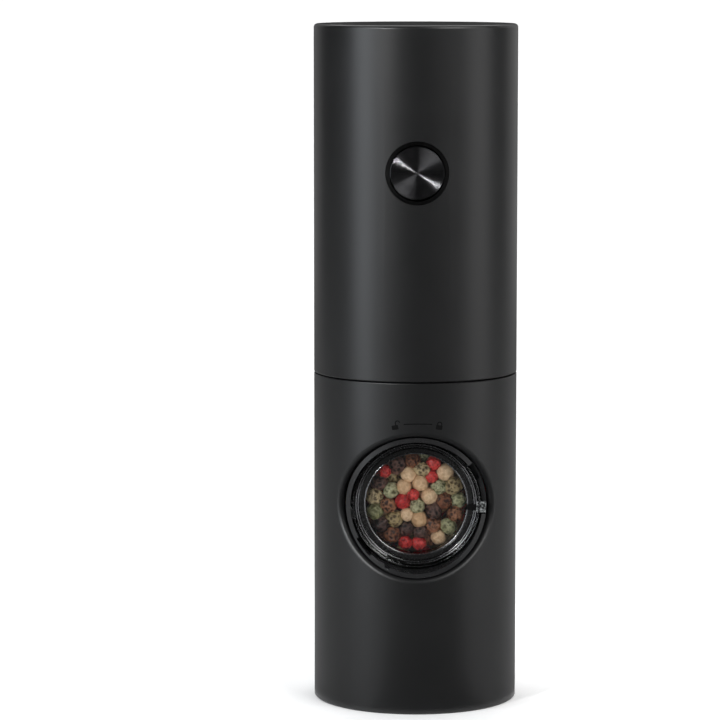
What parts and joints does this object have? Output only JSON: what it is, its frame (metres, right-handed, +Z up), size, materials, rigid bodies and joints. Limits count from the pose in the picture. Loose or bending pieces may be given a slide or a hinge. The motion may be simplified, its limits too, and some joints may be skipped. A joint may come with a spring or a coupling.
{
  "type": "pepper mill",
  "caption": "Battery-powered pepper mill: plain two-part black tube with a push button and a round twist-lock window over the pepper tank.",
  "frame": {"origin": "centre of the base, on the surface the mill stands on", "axes": "+Z up along the tube; the button and filling port face -Y; +X to the right seen from the front"},
  "size_m": [0.063, 0.063, 0.21],
  "materials": {
    "shell_black": "satin black moulded plastic, very fine texture",
    "port_gloss": "polished black plastic",
    "clear_door": "polished clear plastic",
    "button_metal": "concentric-brushed dark anodised aluminium",
    "inner_black": "plain black moulded plastic",
    "tank_grey": "smoke-grey moulded plastic",
    "silicone": "translucent silicone",
    "ceramic": "unglazed white ceramic",
    "steel": "bright steel",
    "acetal": "natural white acetal",
    "motor_steel": "zinc-plated drawn steel",
    "bronze": "sintered bronze",
    "cell_wrap": "blue shrink-wrapped cell",
    "nickel": "nickel strip",
    "circuit_board": "green solder mask",
    "chip_black": "moulded component packages",
    "light_pipe": "milky clear light pipe",
    "lead_red": "red wire insulation",
    "lead_black": "black wire insulation"
  },
  "bodies": {
    "root": {"lower_shell": "shell_black", "upper_shell": "shell_black", "chassis": "inner_black", "hopper": "tank_grey", "port_collar": "port_gloss", "burr_cartridge": "inner_black", "outer_burr": "ceramic", "output_bushing": "bronze", "shaft_seal": "silicone", "gear_housing": "acetal", "gearbox_cover": "acetal", "motor_can": "motor_steel", "motor_end_bell": "inner_black", "battery_cell": "cell_wrap", "battery_cradle": "inner_black", "battery_tabs": "nickel", "control_board": "circuit_board", "board_chips": "chip_black", "tact_switch": "chip_black", "charge_board": "circuit_board", "usb_socket": "nickel", "charge_led": "light_pipe", "button_bezel": "port_gloss", "battery_lead_red": "lead_red", "battery_lead_black": "lead_black", "motor_lead_red": "lead_red", "motor_lead_black": "lead_black", "cartridge_screws": "steel", "hopper_screws": "steel", "gearbox_screws": "steel", "motor_screws": "steel", "board_screws": "steel"},
    "power_button": {"button_cap": "inner_black", "button_disc": "button_metal"},
    "door_seal": {"door_gasket": "silicone"},
    "door": {"fill_door": "clear_door"},
    "rotor": {"motor_shaft": "steel", "motor_pinion": "bronze"},
    "first_carrier": {"first_stage_carrier": "acetal", "first_planet_pins": "steel"},
    "output": {"output_carrier": "acetal", "second_planet_pins": "steel", "drive_shaft": "steel", "agitator": "acetal", "burr_spring": "steel"},
    "knob": {"adjust_knob": "inner_black", "knob_clip": "steel"},
    "pin": {"thrust_pin": "acetal"},
    "grinding_cone": {"inner_burr": "ceramic"},
    "first_planet_a": {"first_planet_a": "acetal"},
    "second_planet_a": {"second_planet_a": "acetal"},
    "first_planet_b": {"first_planet_b": "acetal"},
    "second_planet_b": {"second_planet_b": "acetal"},
    "first_planet_c": {"first_planet_c": "acetal"},
    "second_planet_c": {"second_planet_c": "acetal"}
  },
  "joints": [
    {"name": "power_button_press", "type": "slide", "parent": "root", "child": "power_button", "axis": [0, 1, 0], "range_m": [0, 0.0009], "stiffness_N_per_m": 900},
    {"name": "door_pull", "type": "slide", "parent": "root", "child": "door_seal", "axis": [0, -1, 0], "range_m": [0, 0.042]},
    {"name": "door_twist", "type": "hinge", "parent": "door_seal", "child": "door", "pos_m": [0, -0.0205, 0.0638], "axis": [0, -1, 0], "range_deg": [0, 30]},
    {"name": "motor_spin", "type": "hinge", "parent": "root", "child": "rotor", "pos_m": [0, 0, 0.134], "axis": [0, 0, 1], "continuous": true},
    {"name": "first_carrier_spin", "type": "hinge", "parent": "root", "child": "first_carrier", "pos_m": [0, 0, 0.112], "axis": [0, 0, 1], "continuous": true},
    {"name": "output_spin", "type": "hinge", "parent": "root", "child": "output", "pos_m": [0, 0, 0.1], "axis": [0, 0, 1], "continuous": true},
    {"name": "adjust_knob_turn", "type": "hinge", "parent": "root", "child": "knob", "pos_m": [0, 0, 0.005], "axis": [0, 0, 1], "range_deg": [0, 270.5]},
    {"name": "thrust_pin_lift", "type": "slide", "parent": "root", "child": "pin", "axis": [0, 0, 1], "range_m": [0, 0.00094], "deforming": ["burr_spring"]},
    {"name": "inner_burr_spin", "type": "hinge", "parent": "pin", "child": "grinding_cone", "pos_m": [0, 0, 0.022], "axis": [0, 0, 1], "continuous": true},
    {"name": "first_planet_a_spin", "type": "hinge", "parent": "first_carrier", "child": "first_planet_a", "pos_m": [0.009, 0, 0.116], "axis": [0, 0, 1], "continuous": true},
    {"name": "second_planet_a_spin", "type": "hinge", "parent": "output", "child": "second_planet_a", "pos_m": [0.009, 0, 0.108], "axis": [0, 0, 1], "continuous": true},
    {"name": "first_planet_b_spin", "type": "hinge", "parent": "first_carrier", "child": "first_planet_b", "pos_m": [-0.0045, 0.00779, 0.116], "axis": [0, 0, 1], "continuous": true},
    {"name": "second_planet_b_spin", "type": "hinge", "parent": "output", "child": "second_planet_b", "pos_m": [-0.0045, 0.00779, 0.108], "axis": [0, 0, 1], "continuous": true},
    {"name": "first_planet_c_spin", "type": "hinge", "parent": "first_carrier", "child": "first_planet_c", "pos_m": [-0.0045, -0.00779, 0.116], "axis": [0, 0, 1], "continuous": true},
    {"name": "second_planet_c_spin", "type": "hinge", "parent": "output", "child": "second_planet_c", "pos_m": [-0.0045, -0.00779, 0.108], "axis": [0, 0, 1], "continuous": true}
  ],
  "couplings": [
    {"joint": "first_carrier_spin", "follows": "motor_spin", "ratio": 0.2},
    {"joint": "output_spin", "follows": "motor_spin", "ratio": 0.04},
    {"joint": "inner_burr_spin", "follows": "motor_spin", "ratio": 0.04},
    {"joint": "adjust_knob_turn", "follows": "thrust_pin_lift", "rad_per_m": 5013.2},
    {"joint": "first_planet_a_spin", "follows": "motor_spin", "ratio": -0.53333},
    {"joint": "second_planet_a_spin", "follows": "motor_spin", "ratio": -0.10667},
    {"joint": "first_planet_b_spin", "follows": "motor_spin", "ratio": -0.53333},
    {"joint": "second_planet_b_spin", "follows": "motor_spin", "ratio": -0.10667},
    {"joint": "first_planet_c_spin", "follows": "motor_spin", "ratio": -0.53333},
    {"joint": "second_planet_c_spin", "follows": "motor_spin", "ratio": -0.10667}
  ]
}
